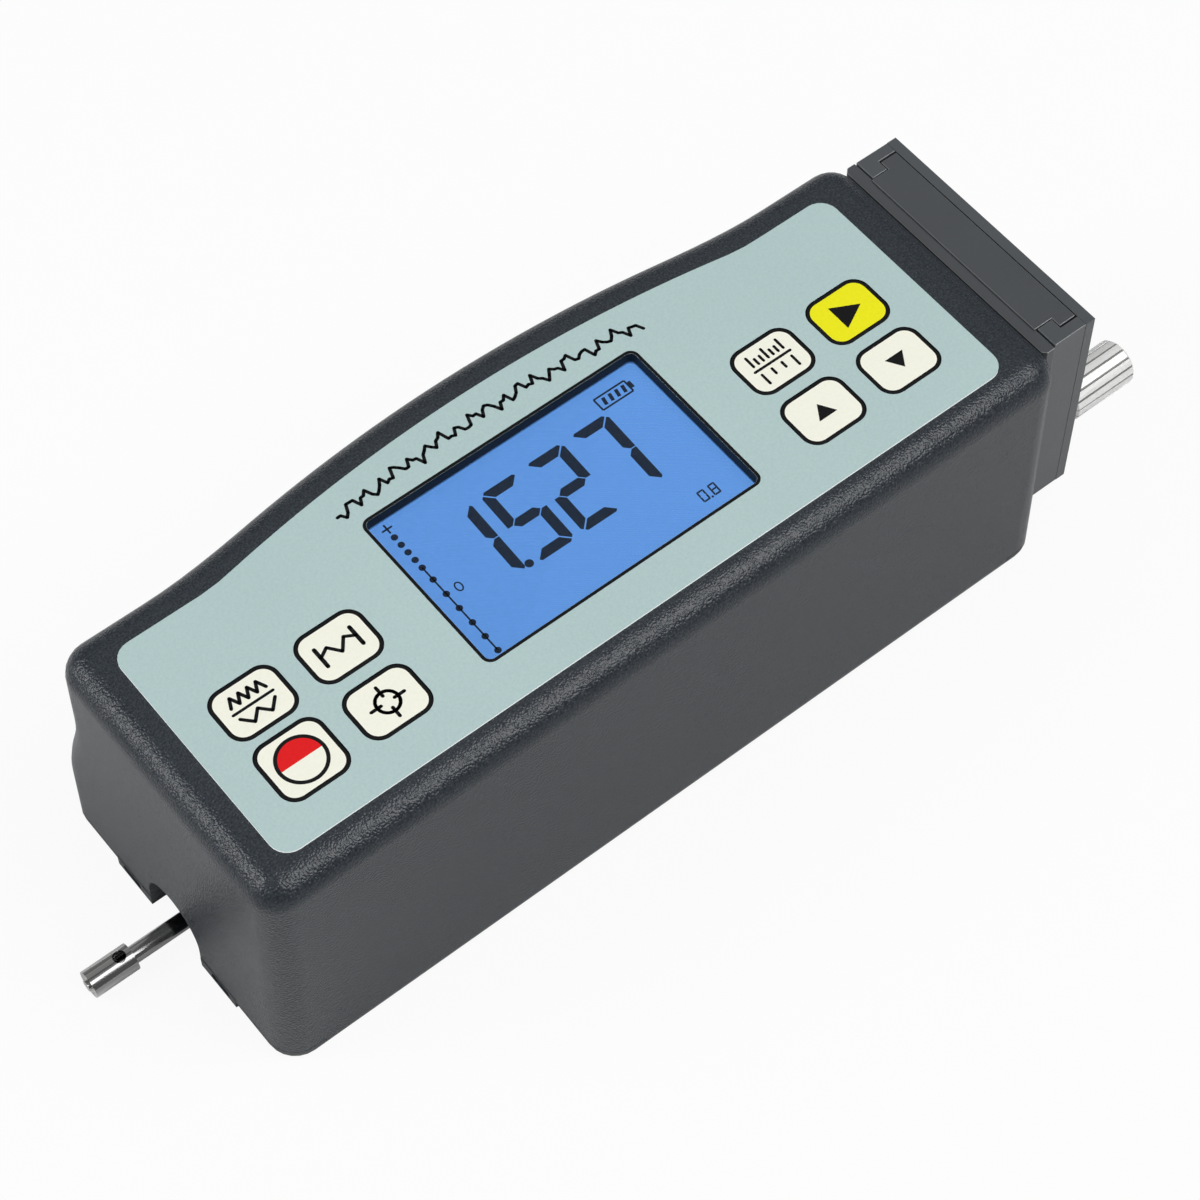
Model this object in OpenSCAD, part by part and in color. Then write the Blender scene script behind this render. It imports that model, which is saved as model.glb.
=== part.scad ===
// Handheld surface roughness tester: moulded housing, keys and display on top, a
// motor driven pickup out of the front and a clamped height adjuster on the rear wall.
// Millimetres. The origin lies on the base plane under the middle of the housing,
// +X runs to the rear, +Y to the scooped far side and +Z up.

/* [Housing] */
// Length of the housing at its base
body_l = 140; // [136:1:170]
// Width of the housing across its base
body_w = 54.4; // [52:0.2:62]
// Height from the base plane to the face of the label film
body_h = 47; // [45:0.5:56]
// Thickness of the side and end walls
wall = 2.2; // [1.6:0.1:2.6]
// Thickness of the deck under the label
deck_t = 2; // [1.6:0.1:2.4]
// Draft of the front and rear walls in degrees
end_draft = 1.3; // [0.6:0.1:1.8]
// Radius of the upright corners
corner_r = 4.6; // [4:0.1:7]
// Radius of the rounded edge around the deck
deck_r = 4.2; // [3:0.1:4.4]
// Radius under the lower edge of the walls
foot_r = 1.6; // [0.6:0.1:2]

/* [Hand grip] */
// Depth of the two scoops at the ends of the far side
scoop_depth = 4.6; // [2:0.1:5.6]
// Half length of the bulge between the scoops
bulge_half = 46; // [38:1:52]
// Height above which the scoops have their full depth
scoop_top = 32; // [28:1:36]
// Height at which the scoops have run out
scoop_bottom = 12; // [8:1:18]
// Softness of the bend between bulge and scoop
bend_soft = 1.8; // [0.8:0.1:3]

/* [Base cover] */
// Thickness of the base panel
base_t = 3; // [2.6:0.1:3.4]
// Height of the seam above the base plane at the front and rear lips
seam_z = 2.4; // [2.2:0.1:2.6]
// Length of each end lip along the housing
lip_l = 6.5; // [5:0.5:8]
// Gap between the base panel and the walls beside it
cover_gap = 0.1; // [0.05:0.05:0.2]
// Width of the slot that the pickup runs in
slot_w = 12.3; // [11:0.1:14]
// Length of the slot that is open below
slot_open_l = 32; // [24:1:36]
// Length of slot and closed channel together
channel_l = 78; // [76:1:84]
// Thickness of the floor under the closed channel
channel_floor = 0.6; // [0.4:0.1:0.8]
// Height of the arch over the pickup in the front wall
arch_h = 10.6; // [9.4:0.1:13]
// Width of each square boss beside the slot
boss_w = 8.4; // [7:0.1:10]
// Length of the hook slot in each boss
hook_l = 4.4; // [3:0.1:5]
// Height of the hook slot in each boss
hook_h = 1.5; // [1:0.1:1.6]
// Depth of the hook slot in each boss
hook_deep = 3; // [2:0.1:4]

/* [Label] */
// Thickness of the label film
film_t = 0.25; // [0.15:0.05:0.35]
// Distance from the base front edge to the film
label_front_gap = 7; // [6:0.1:9]
// Distance from the base rear edge to the film
label_rear_gap = 8.3; // [7:0.1:10]
// Flat strip between the film and the rounded deck edge
label_strip = 0.5; // [0.2:0.1:1]
// Extra strip between the film and the curved far edge
label_far = 0.9; // [0.3:0.1:1.5]
// Corner radius of the film
label_r = 2.9; // [1.5:0.1:4]
// Softness of the bends in the film's curved edge
label_soft = 0.5; // [0.3:0.1:1]

/* [Display] */
// Length of the display opening
window_l = 46.8; // [40:0.2:52]
// Width of the display opening
window_w = 28; // [24:0.2:30]
// Place of the opening's centre along the housing
window_x = -0.95; // [-3:0.05:2]
// Distance from the film's near edge to the opening
window_near_gap = 7.1; // [5:0.1:9]
// Corner radius of the display opening
window_r = 1; // [0.6:0.1:2]
// Clearance around the protective pane in its opening
pane_gap = 0.1; // [0.05:0.05:0.2]
// Thickness of the protective pane
pane_t = 0.5; // [0.4:0.1:1]
// Border of the display glass under the deck
lcd_border = 2.2; // [1.5:0.1:3]
// Thickness of the display glass
lcd_t = 2; // [1.6:0.1:2.4]
// Thickness of the light guide behind the glass
backlight_t = 3; // [2.6:0.1:3.6]

/* [Keys] */
// Length of a key along the housing
key_l = 10.7; // [9:0.1:12]
// Width of a key across the housing
key_w = 8.8; // [8:0.1:10]
// Width of the power key across the housing
power_key_w = 10.1; // [9:0.1:10.4]
// Corner radius of a key
key_r = 2.5; // [1.5:0.1:3]
// Spacing of the keys along the housing
key_pitch_x = 13.9; // [13:0.1:14.5]
// Spacing of the keys across the housing
key_pitch_y = 10.9; // [10.5:0.1:12]
// Distance from the film's front edge to the first key column
key_front_gap = 10.6; // [9:0.1:12]
// Distance from the film's rear edge to the last key column
key_rear_gap = 11; // [9:0.1:12]
// Distance from the film's near edge to the near key row
key_near_gap = 10.5; // [8:0.1:12]
// Clearance around each key
key_gap = 0.12; // [0.08:0.02:0.2]
// Thickness of a key pad
key_t = 0.5; // [0.4:0.05:0.6]
// Travel of a key
key_travel = 0.3; // [0.2:0.05:0.4]
// Spare depth under a pressed key
key_spare = 0.15; // [0.1:0.05:0.3]
// Diameter of the stem under a key
stem_d = 3.6; // [2.6:0.1:4]

/* [Circuit board] */
// Thickness of the board
board_t = 1.6; // [1.2:0.1:2]
// Distance from the board's ends to the end walls
board_end_gap = 10; // [9.6:0.1:12]
// Distance from the board's sides to the side walls
board_side_gap = 3.6; // [2.4:0.1:5]
// Diameter of the pillars that carry the board
board_pillar_d = 5; // [4.5:0.1:6]
// Diameter of the board screws
board_screw_d = 2; // [1.6:0.1:2.4]
// Side of a key switch body
switch_w = 6; // [5:0.1:6.4]
// Height of a key switch body
switch_h = 3.4; // [3:0.1:3.8]

/* [Battery] */
// Length of the battery pack
battery_l = 54; // [40:1:60]
// Clearance around the battery pack
battery_gap = 0.25; // [0.1:0.05:0.5]
// Space between the battery pack and the board
battery_top_gap = 4.1; // [2.5:0.1:8]
// Thickness of the ribs that hold the pack
rib_t = 1.4; // [1:0.1:2]
// Height of the ribs that hold the pack
rib_h = 9; // [6:0.5:14]

/* [Pickup] */
// Reach of the pickup in front of the base
nose_reach = 14.6; // [12:0.1:16]
// Height of the pickup's axis above the base plane
pickup_z = 2.5; // [2.4:0.05:2.7]
// Outside diameter of the nose
nose_d = 4.3; // [3.8:0.1:4.4]
// Length of the nose
nose_l = 7.2; // [6:0.1:9]
// Bore of the nose
nose_bore = 3.5; // [3:0.1:3.6]
// Diameter of the hole on top of the nose
peep_d = 2; // [1.4:0.1:2.4]
// Outside diameter of the tube
tube_d = 2.7; // [2.5:0.05:2.9]
// Bore of the tube
tube_bore = 1.9; // [1.7:0.05:2]
// Diameter of the sensor body behind the tube
sensor_d = 7; // [6.6:0.1:7.4]
// Length of the sensor body
sensor_l = 24; // [20:0.5:26]
// Diameter of the sensor's plug
plug_d = 5; // [4:0.1:5.4]
// Length of the sensor's plug
plug_l = 10; // [8:0.5:11]
// Diameter of the stylus lever
lever_d = 0.8; // [0.6:0.05:1]
// Distance from the nose tip to the lever's pivot
pivot_back = 22; // [18:0.5:26]
// Diameter of the pivot pin
pivot_d = 0.5; // [0.4:0.05:0.55]
// Distance from the nose tip to the stylus
stylus_back = 2.4; // [1.8:0.1:3.5]
// Height of the stylus point above the base plane at rest
stylus_z = 0.2; // [0.15:0.05:0.3]

/* [Drive unit] */
// Distance from the base front edge to the drive frame
drive_front = 34; // [33:0.5:36]
// Thickness of the frame walls
frame_t = 3; // [2.4:0.1:3.2]
// Thickness of the frame floor
frame_floor = 2; // [1.6:0.1:2.4]
// Clear length between the two bearing walls
drive_bay = 53; // [50:0.5:54]
// Gap between rear bearing wall and motor wall
gear_bay = 6; // [5.6:0.1:7]
// Height of the lead screw above the base plane
drive_z = 12.6; // [12.4:0.1:14]
// Diameter of the guide rods
rod_d = 3; // [2.4:0.1:3.4]
// Spacing of the guide rods
rod_pitch = 19; // [18:0.2:21]
// Diameter of the lead screw
screw_d = 5; // [4:0.1:6]
// Diameter of the screw's journals
journal_d = 3; // [2.4:0.1:3.4]
// Radial running clearance of rods, screw and journals
run_gap = 0.04; // [0.02:0.01:0.08]
// Length of the carriage
carriage_l = 16; // [14:0.5:18]
// Height of the carriage above and below the rods
carriage_h = 7.4; // [6.6:0.1:7.8]
// Wall of the carriage outside the rods
carriage_edge = 3.2; // [2.4:0.1:4]
// Width of the socket that holds the sensor's plug
socket_w = 9.4; // [8.4:0.1:10]
// Travel of the carriage
traverse = 17.5; // [10:0.5:17.5]
// Gear module
gear_m = 0.5; // [0.45:0.01:0.55]
// Teeth of the screw gear
gear_teeth = 24; // [20:2:28]
// Teeth of the motor pinion
pinion_teeth = 12; // [12:1:16]
// Width of both gears
gear_w = 3; // [2:0.1:3.6]
// Extra distance between the gear centres
mesh_gap = 0.12; // [0.08:0.01:0.2]
// Diameter of the motor
motor_d = 15; // [12:0.5:16]
// Length of the motor
motor_l = 26; // [20:0.5:28]
// Diameter of the motor shaft
shaft_d = 2; // [1.5:0.1:2.4]
// Depth of the shaft inside the motor
shaft_in = 7; // [5:0.5:10]
// Diameter of the motor's bearing bosses
motor_boss_d = 6; // [5:0.1:7]
// Distance of the frame's screws from its bearing walls
frame_screw_in = 8; // [6:0.5:12]
// Distance of the frame's screws from its sides
frame_screw_side = 3; // [2.8:0.1:3.4]

/* [Height adjuster] */
// Distance from the near side to the rail plate
plate_in = 4.45; // [4.2:0.05:6]
// Width of the rail plate on the rear wall
plate_w = 43.4; // [42:0.2:44]
// Thickness of the rail plate
plate_t = 2.1; // [1.6:0.1:3]
// Step of the plate's top below the rail's top
plate_step = 0.3; // [0.1:0.05:0.6]
// Chamfer on the plate's front upright edges
plate_edge = 0.7; // [0.3:0.1:1]
// Depth of the plate's seat behind the base rear edge
seat_in = 1; // [0.8:0.05:1.4]
// Distance from the label's face down to the rail's top
rail_drop = 2.7; // [2.6:0.1:5]
// Height of the rail's lower end above the base plane
rail_bottom = 3.2; // [3:0.1:4]
// Reach of the rail's head beyond its neck
head_lip = 1.7; // [1.2:0.1:2.2]
// Depth of the rail's neck
neck_t = 3; // [2.4:0.1:3.6]
// Width of the rail's head
head_w = 38.6; // [38:0.2:39]
// Depth of the rail's head
head_t = 3; // [2.6:0.1:3.6]
// Sliding clearance around the rail
slide_gap = 0.12; // [0.08:0.02:0.2]
// Side play between the rail's head and the cheeks
side_gap = 0.3; // [0.1:0.05:0.4]
// Thickness of the cheeks beside the rail's head
cheek_t = 1.9; // [1.8:0.05:2.2]
// Length of the slider
slider_l = 38.8; // [34:0.2:39]
// Thickness of the slider's back plate
back_t = 1.7; // [1.4:0.1:2.4]
// Distance of the slider below its upper end
slider_down = 0; // [0:0.5:12.5]
// Diameter of the thumb screw's head
knob_d = 7.4; // [6:0.1:9]
// Length of the thumb screw's head
knob_l = 12; // [8:0.5:16]
// Distance of the head from the back plate
knob_stand = 2; // [1:0.1:4]
// Number of knurls around the head
knurls = 16; // [12:1:24]
// Depth of the knurls
knurl_deep = 0.3; // [0.2:0.05:0.5]
// Diameter of the thumb screw's shank
shank_d = 3.6; // [3:0.1:4]
// Gap between the shank's end and the rail at rest
clamp_gap = 0.05; // [0.03:0.01:0.1]
// Distance from the slider's near side to the thumb screw
knob_in = 5; // [4.6:0.1:8]
// Distance from the slider's lower end to the thumb screw
knob_up = 12; // [11:0.1:13]

/* [Fasteners] */
// Diameter of the housing and rail screws
screw_m = 3; // [2.5:0.1:3.2]
// Diameter of their heads
screw_head_d = 5.4; // [5:0.1:6]
// Height of their heads
screw_head_h = 1.6; // [1.2:0.1:1.8]
// Clearance around screws and heads
screw_gap = 0.1; // [0.05:0.05:0.2]
// Length of the base screws under their heads
base_screw_l = 10; // [8:0.5:14]
// Length of the rail screws under their heads
rail_screw_l = 10.1; // [9:0.1:11]
// Distance of the rail screws from the rail's middle
rail_screw_out = 10; // [8:0.5:12]
// Distance of the upper rail screws from the rail's top
rail_screw_down = 7.3; // [6:0.1:9]
// Height between the upper and the lower rail screws
rail_screw_rise = 13; // [8:0.5:14]
// Diameter of the screws in the slider's cheeks
cheek_screw_d = 1; // [0.8:0.05:1.2]
// Diameter of the heads of these screws
cheek_head_d = 1.6; // [1.4:0.05:1.7]
// Height of the heads of these screws
cheek_head_h = 0.8; // [0.6:0.05:1]
// Length of these screws under their heads
cheek_screw_l = 4; // [3:0.1:4.4]
// Distance of these screws from the slider's ends
cheek_screw_in = 8; // [4:0.5:12]
// Height of the heads of the board screws
board_head_h = 1.2; // [0.8:0.1:1.6]
// Length of the board screws under their heads
board_screw_l = 4.6; // [4:0.1:5.4]
// Depth of every sunk head below its face
head_sink = 0.2; // [0.1:0.05:0.4]
// Diameter of the posts that take the base screws
post_d = 6.5; // [6:0.1:7]
// Distance of the base screws from the ends of the base
post_end = 8; // [7.8:0.1:8.6]
// Distance of the near base screws from the near side
post_near = 6.9; // [6.8:0.1:8]
// Distance of the far base screws from the far side
post_far = 12; // [11.8:0.1:13]

/* [Hidden] */
$fn = 48;
eps = 0.01;
half_l = body_l / 2;
half_w = body_w / 2;
deck_z = body_h - film_t;
ceiling_z = deck_z - deck_t;
lean = tan(end_draft);

// bulge between the scoops, as the radius of its arc
bulge_r = (bulge_half * bulge_half + scoop_depth * scoop_depth) / (2 * scoop_depth);
corner_steps = 6;
grip_steps = 40;
label_inset = deck_r + label_strip;
label_x0 = -half_l + label_front_gap;
label_x1 = half_l - label_rear_gap;

// key columns and rows
key_cols = [
    label_x0 + key_front_gap,
    label_x0 + key_front_gap + key_pitch_x,
    label_x1 - key_rear_gap - key_pitch_x,
    label_x1 - key_rear_gap
];
label_y0 = -half_w + label_inset;
key_rows = [label_y0 + key_near_gap, label_y0 + key_near_gap + key_pitch_y];
pocket_deep = key_t - film_t + key_travel + key_spare;
window_y = label_y0 + window_near_gap + window_w / 2;

// stack under the deck, from the display glass down to the board
lcd_top = ceiling_z;
lcd_bottom = lcd_top - lcd_t;
board_top = lcd_bottom - backlight_t;
board_bottom = board_top - board_t;
board_x = half_l - wall - board_end_gap;
board_y0 = -half_w + wall + board_side_gap;
board_y1 = half_w - scoop_depth - wall - board_side_gap;
board_holes = [
    for (x = [-1, 1], y = [board_y0 + board_pillar_d / 2, board_y1 - board_pillar_d / 2])
        [x * (board_x - board_pillar_d / 2), y]
];
stem_bottom = board_top + switch_h + 0.6 + key_travel + 0.05;

// base screws
posts = [
    for (x = [-1, 1], y = [-half_w + post_near, half_w - post_far])
        [x * (half_l - post_end), y]
];
pilot_deep = base_screw_l + 2;

// pickup stations along the housing
nose_tip = -half_l - nose_reach;
nose_end = nose_tip + nose_l;
nose_web = 0.8;
pivot_x = nose_tip + pivot_back;
stylus_x = nose_tip + stylus_back;
sensor_z = pickup_z + (sensor_d - tube_d) / 2 - 0.05;
socket_x = -half_l + drive_front + frame_t + 11;
sensor_x = socket_x - sensor_l;
plug_end = socket_x + plug_l;
lever_clear = 0.4;

// drive unit stations along the housing
wall_a = -half_l + drive_front;
wall_b = wall_a + frame_t + drive_bay;
wall_c = wall_b + frame_t + gear_bay;
frame_w = rod_pitch + 2 * carriage_edge + rod_d;
carriage_x = socket_x - 2;
carriage_z = drive_z - carriage_h / 2;
gear_x = wall_b + frame_t + (gear_bay - gear_w) / 2;
gear_reach = gear_m * (gear_teeth + pinion_teeth) / 2 + mesh_gap;
motor_z = drive_z + gear_reach;
frame_top = motor_z + motor_d / 2 + 1;
drive_screws_at = [
    for (s = [-1, 1], x = [wall_a + frame_t + frame_screw_in, wall_b - frame_screw_in])
        [x, s * (frame_w / 2 - frame_screw_side)]
];

// battery pack against the near wall
battery_y = -half_w + wall + battery_gap;
battery_x = -half_l + post_end + post_d + rib_t;
battery_t = -frame_w / 2 - rib_t - 2 * battery_gap - battery_y;
battery_h = board_bottom - battery_top_gap - base_t;

// height adjuster stations behind the housing
seat_x = half_l - seat_in;
rail_y = -half_w + plate_in + plate_w / 2;
rail_top = body_h - rail_drop;
plate_x = seat_x + plate_t;
neck_x = plate_x + neck_t;
head_x = neck_x + head_t;
neck_w = head_w - 2 * head_lip;
slider_w = head_w + 2 * (side_gap + cheek_t);
slider_z = rail_top - slider_l - slider_down;
back_x = head_x + slide_gap;
knob_y = rail_y - slider_w / 2 + knob_in;
knob_z = slider_z + knob_up;
knob_x = back_x + back_t + knob_stand;
rail_holes = [
    for (y = [-1, 1], z = [rail_top - rail_screw_down - rail_screw_rise, rail_top - rail_screw_down])
        [rail_y + y * rail_screw_out, z]
];
cheek_holes = [
    for (y = [-1, 1], z = [cheek_screw_in, slider_l - cheek_screw_in])
        [rail_y + y * (slider_w - cheek_t) / 2, slider_z + z]
];

// Outline of the housing

// smooth lesser of two values, blended over a softness
function soft_min(a, b, soft) =
    let (h = max(soft - abs(a - b), 0) / soft)
    min(a, b) - h * h * soft / 4;

// how far the far side steps in at a place along the housing
function scoop(x, soft) =
    let (dx = min(abs(x), bulge_r * 0.9))
    soft_min(bulge_r - sqrt(bulge_r * bulge_r - dx * dx), scoop_depth, soft);

// share of the scoop that is left at a height
function scoop_share(z) =
    let (t = min(max((z - scoop_bottom) / (scoop_top - scoop_bottom), 0), 1))
    t * t * (3 - 2 * t);

function far_y(x, z, inset, soft) = half_w - inset - scoop(x, soft) * scoop_share(z);

function arc(cx, cy, r, a0) = [
    for (k = [0:corner_steps])
        let (a = a0 + 90 * k / corner_steps)
        [cx + r * cos(a), cy + r * sin(a)]
];

// closed outline, counter-clockwise seen from above
function outline(x0, x1, y0, r, z, inset, soft) =
    concat(
        arc(x0 + r, y0 + r, r, 180),
        arc(x1 - r, y0 + r, r, 270),
        arc(x1 - r, far_y(x1, z, inset, soft) - r, r, 0),
        [
            for (k = [1:grip_steps - 1])
                let (x = x1 - r - (x1 - x0 - 2 * r) * k / grip_steps)
                [x, far_y(x, z, inset, soft)]
        ],
        arc(x0 + r, far_y(x0, z, inset, soft) - r, r, 90)
    );

// one level of the housing, set in from its walls
function ring(z, inset) =
    let (end = half_l - max(z, 0) * lean - inset, r = max(corner_r - inset, 0.4))
    [for (p = outline(-end, end, -half_w + inset, r, z, inset, bend_soft)) [p[0], p[1], z]];

// straight sided hollow inside the walls, as wide as it can be at a height
function cavity_plan(z) =
    let (end = half_l - ceiling_z * lean - wall)
    outline(-end, end, -half_w + wall, corner_r - wall, z, wall, bend_soft);

// levels of the outer form, from the base through the grip to the deck
function foot_rings() = [
    for (a = [0:30:90]) ring(foot_r * (1 - cos(a)), foot_r * (1 - sin(a)))
];
function grip_rings() = [
    for (t = [0:0.1:1]) ring(scoop_bottom + (scoop_top - scoop_bottom) * t, 0)
];
function deck_rings() = [
    for (a = [0:15:75]) ring(deck_z - deck_r * (1 - sin(a)), deck_r * (1 - cos(a))),
    ring(deck_z + deck_r * (1 - sin(75)), deck_r * (1 + cos(75)))
];

// solid skin through a stack of levels
module loft(levels) {
    n = len(levels[0]);
    last = len(levels) - 1;
    sides = [
        for (k = [0:last - 1], i = [0:n - 1])
            let (a = k * n + i, b = k * n + (i + 1) % n)
            each [[a, a + n, b + n], [a, b + n, b]]
    ];
    bottom = [[for (i = [0:n - 1]) i]];
    hub = (last + 1) * n;
    top = [for (i = [0:n - 1]) [hub, last * n + (i + 1) % n, last * n + i]];
    points = [for (level = levels) each level];
    polyhedron(concat(points, [[0, 0, levels[last][0][2]]]), concat(bottom, sides, top));
}

// Shapes that repeat

module box(x0, x1, y0, y1, z0, z1) {
    translate([x0, y0, z0])
        cube([x1 - x0, y1 - y0, z1 - z0]);
}

module rod_x(d, x0, x1, y, z) {
    translate([x0, y, z])
        rotate([0, 90, 0])
            cylinder(d = d, h = x1 - x0);
}

module rod_z(d, x, y, z0, z1) {
    translate([x, y, z0])
        cylinder(d = d, h = z1 - z0);
}

module round_rect(l, w, r) {
    square([l - 2 * r, w], center = true);
    square([l, w - 2 * r], center = true);
    for (x = [-1, 1], y = [-1, 1])
        translate([x * (l / 2 - r), y * (w / 2 - r)])
            circle(r);
}

module key_plan(grow) {
    round_rect(key_l + 2 * grow, $wide + 2 * grow, key_r + grow);
}

module at_each_key() {
    for (column = [0:3], row = [0, 1]) {
        $wide = column + row == 0 ? power_key_w : key_w;
        translate([key_cols[column], key_rows[row], 0])
            children();
    }
}

module window_plan(grow) {
    translate([window_x, window_y])
        round_rect(window_l + 2 * grow, window_w + 2 * grow, window_r + grow);
}

// pan head screw along +Z with its head below
module pan_screw(d, head_d, head_h, shank_l) {
    cylinder(d = head_d, h = head_h);
    translate([0, 0, head_h])
        cylinder(d = d, h = shank_l);
}

// extrusion along X of a shape drawn in the Y and Z directions
module along_x(x0, x1) {
    translate([x0, 0, 0])
        rotate([90, 0, 90])
            linear_extrude(x1 - x0)
                children();
}

// Housing and base

module main_housing() {
    color("#3a3f44")
    difference() {
        union() {
            difference() {
                loft(concat(foot_rings(), grip_rings(), deck_rings()));
                box(-half_l, half_l, -half_w, half_w, deck_z, deck_z + deck_r);
                translate([0, 0, -1])
                    linear_extrude(ceiling_z + 1)
                        polygon(cavity_plan(deck_z));
                translate([0, 0, -1])
                    linear_extrude(scoop_bottom + 1)
                        polygon(cavity_plan(0));
            }
            for (p = posts)
                rod_z(post_d, p[0], p[1], base_t, ceiling_z + deck_t / 2);
            for (p = board_holes)
                rod_z(board_pillar_d, p[0], p[1], board_top, ceiling_z + deck_t / 2);
            for (p = rail_holes)
                rod_x(post_d, seat_x - wall - 4, seat_x - wall / 2, p[0], p[1]);
        }
        for (s = [-1, 1])
            box(s * half_l - lip_l, s * half_l + lip_l, -half_w - 1, half_w + 1, -1, seam_z);
        box(-half_l - 1, -half_l + lip_l, -slot_w / 2, slot_w / 2, -1, arch_h - slot_w / 2);
        rod_x(slot_w, -half_l - 1, -half_l + lip_l, 0, arch_h - slot_w / 2);
        translate([0, 0, ceiling_z - 1])
            linear_extrude(deck_t + 2)
                window_plan(0);
        at_each_key() {
            translate([0, 0, deck_z - pocket_deep])
                linear_extrude(pocket_deep + 1)
                    key_plan(key_gap);
            rod_z(stem_d + 4 * key_gap, 0, 0, ceiling_z - 1, deck_z);
        }
        for (p = posts)
            rod_z(screw_m + screw_gap, p[0], p[1], base_t - 1, base_t + pilot_deep);
        for (p = board_holes)
            rod_z(board_screw_d + screw_gap, p[0], p[1], board_top - 1, ceiling_z - 0.6);
        box(seat_x, half_l + 1, rail_y - plate_w / 2 - cover_gap, rail_y + plate_w / 2 + cover_gap,
            rail_bottom - cover_gap, deck_z + 1);
        for (p = rail_holes)
            rod_x(screw_m + screw_gap, seat_x - wall - 5, half_l, p[0], p[1]);
    }
}

module base_cover() {
    panel_x = half_l - lip_l;
    panel_y = half_w - wall - cover_gap;
    front = -half_l;
    rib_y = battery_y + battery_t + battery_gap;
    color("#33373b")
    difference() {
        union() {
            intersection() {
                loft(concat(foot_rings(), [ring(base_t + 1, 0)]));
                for (s = [-1, 1])
                    box(s * half_l - lip_l + cover_gap, s * half_l + lip_l - cover_gap,
                        -half_w - 1, half_w + 1, -1, seam_z - cover_gap);
            }
            box(-panel_x - 1, panel_x + 1, -panel_y, panel_y, 0, seam_z - cover_gap);
            box(-panel_x, panel_x, -panel_y, panel_y, 0, base_t);
            for (s = [-1, 1])
                translate([0, s * (slot_w / 2 + boss_w / 2), 0])
                    box(front, front + lip_l, -boss_w / 2, boss_w / 2, 0, seam_z - cover_gap);
            for (x = [battery_x - rib_t - battery_gap, battery_x + battery_l + battery_gap])
                box(x, x + rib_t, battery_y, rib_y, base_t - eps, base_t + rib_h);
            box(battery_x, battery_x + battery_l, rib_y, rib_y + rib_t, base_t - eps, base_t + rib_h / 2);
        }
        box(front - 1, front + slot_open_l, -slot_w / 2, slot_w / 2, -1, base_t + 1);
        box(front, front + channel_l, -slot_w / 2, slot_w / 2, channel_floor, base_t + 1);
        for (s = [-1, 1])
            along_x(front - 1, front + hook_deep)
                translate([s * (slot_w / 2 + boss_w / 2 + 0.6), seam_z / 2])
                    round_rect(hook_l, hook_h, hook_h / 2 - eps);
        for (p = posts) {
            rod_z(screw_m + 2 * screw_gap, p[0], p[1], -1, base_t + 1);
            rod_z(screw_head_d + 4 * screw_gap, p[0], p[1], -1, screw_head_h + head_sink);
        }
        for (p = drive_screws_at)
            rod_z(screw_m + screw_gap, p[0], p[1], channel_floor, base_t + 1);
    }
}

// Label, display and keys

module front_label() {
    plan = outline(label_x0, label_x1, label_y0, label_r, deck_z, label_inset + label_far, label_soft);
    color("#adc5c6")
    translate([0, 0, deck_z])
        difference() {
            linear_extrude(film_t)
                polygon(plan);
            translate([0, 0, -1])
                linear_extrude(film_t + 2)
                    window_plan(0);
            at_each_key()
                translate([0, 0, -1])
                    linear_extrude(film_t + 2)
                        key_plan(key_gap);
        }
}

module display_pane() {
    color("#dfe8ee", 0.4)
    translate([0, 0, lcd_top])
        linear_extrude(pane_t)
            window_plan(-pane_gap);
}

module lcd_panel() {
    ledge = 1.2;
    color("#5f96de")
    translate([window_x, window_y, lcd_bottom])
        union() {
            linear_extrude(lcd_t)
                square([window_l + 2 * lcd_border, window_w + 2 * lcd_border], center = true);
            translate([0, -window_w / 2 - lcd_border, 0])
                linear_extrude(lcd_t / 2)
                    square([window_l, 2 * ledge], center = true);
        }
}

module lcd_backlight() {
    color("#e8eef2")
    translate([window_x, window_y, board_top])
        linear_extrude(backlight_t)
            square([window_l + lcd_border, window_w + lcd_border], center = true);
}

// flat key pad on the stem that works its switch
module key_pad(column, row) {
    $wide = column + row == 0 ? power_key_w : key_w;
    translate([key_cols[column], key_rows[row], 0]) {
        translate([0, 0, body_h - key_t])
            linear_extrude(key_t)
                key_plan(0);
        rod_z(stem_d, 0, 0, stem_bottom, body_h - key_t + eps);
    }
}

module power_key() {
    color("#e23a34") key_pad(0, 0);
}

module parameter_key() {
    color("#eeecde") key_pad(0, 1);
}

module calibrate_key() {
    color("#eeecde") key_pad(1, 0);
}

module cutoff_key() {
    color("#eeecde") key_pad(1, 1);
}

module up_key() {
    color("#eeecde") key_pad(2, 0);
}

module unit_key() {
    color("#eeecde") key_pad(2, 1);
}

module down_key() {
    color("#eeecde") key_pad(3, 0);
}

module start_key() {
    color("#e6e414") key_pad(3, 1);
}

// Electronics

module main_board() {
    color("#1f6b3e")
    difference() {
        box(-board_x, board_x, board_y0, board_y1, board_bottom, board_top);
        for (p = board_holes)
            rod_z(board_screw_d + screw_gap, p[0], p[1], board_bottom - 1, board_top + 1);
    }
}

module key_switches() {
    color("#24262a")
    at_each_key() {
        box(-switch_w / 2, switch_w / 2, -switch_w / 2, switch_w / 2, board_top, board_top + switch_h);
        rod_z(switch_w / 2, 0, 0, board_top, board_top + switch_h + 0.6);
    }
}

module board_screws() {
    color("silver")
    for (p = board_holes)
        translate([p[0], p[1], board_bottom - board_head_h])
            pan_screw(board_screw_d, 2 * board_screw_d, board_head_h, board_screw_l);
}

module battery_pack() {
    seal = 1.2;
    color("#2d5fa8")
    translate([battery_x + battery_l / 2, battery_y + battery_t / 2, base_t])
        union() {
            linear_extrude(battery_h)
                round_rect(battery_l - 2 * seal, battery_t, battery_t / 2 - eps);
            linear_extrude(battery_h - 2 * seal)
                round_rect(battery_l, battery_t - seal, battery_t / 2 - seal);
        }
}

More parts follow.
